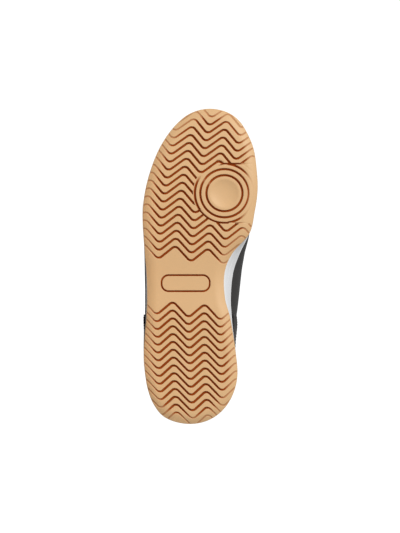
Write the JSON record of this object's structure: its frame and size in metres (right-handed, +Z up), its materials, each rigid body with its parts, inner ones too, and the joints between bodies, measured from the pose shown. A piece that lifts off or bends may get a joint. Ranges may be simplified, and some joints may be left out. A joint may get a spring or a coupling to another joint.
{
  "type": "sneaker",
  "caption": "Low lace-up court sneaker for the right foot with a gum rubber herringbone sole, white cup side wall and dark leather upper, lying on its side.",
  "frame": {"origin": "centre of the shoe's bounding box on the floor that it lies on, under its lateral side", "axes": "+X from the toe toward the heel, +Y from the sole toward the shoe's top, +Z up, from the lateral to the medial side"},
  "size_m": [0.3008, 0.1162, 0.1105],
  "materials": {
    "gum_rubber": "satin",
    "white_rubber": "satin",
    "dark_leather": "satin",
    "dark_trim": "satin",
    "dark_mesh": "matte",
    "footbed_fabric": "matte",
    "lace_fabric": "matte"
  },
  "bodies": {
    "root": {"outsole": "gum_rubber", "midsole": "white_rubber", "upper": "dark_leather", "insole": "footbed_fabric", "tongue": "dark_mesh", "eyestay": "dark_trim", "collar": "dark_mesh", "counter": "dark_trim", "lace_1": "lace_fabric", "lace_2": "lace_fabric", "lace_3": "lace_fabric", "lace_4": "lace_fabric", "lace_5": "lace_fabric", "lace_6": "lace_fabric"}
  },
  "joints": []
}
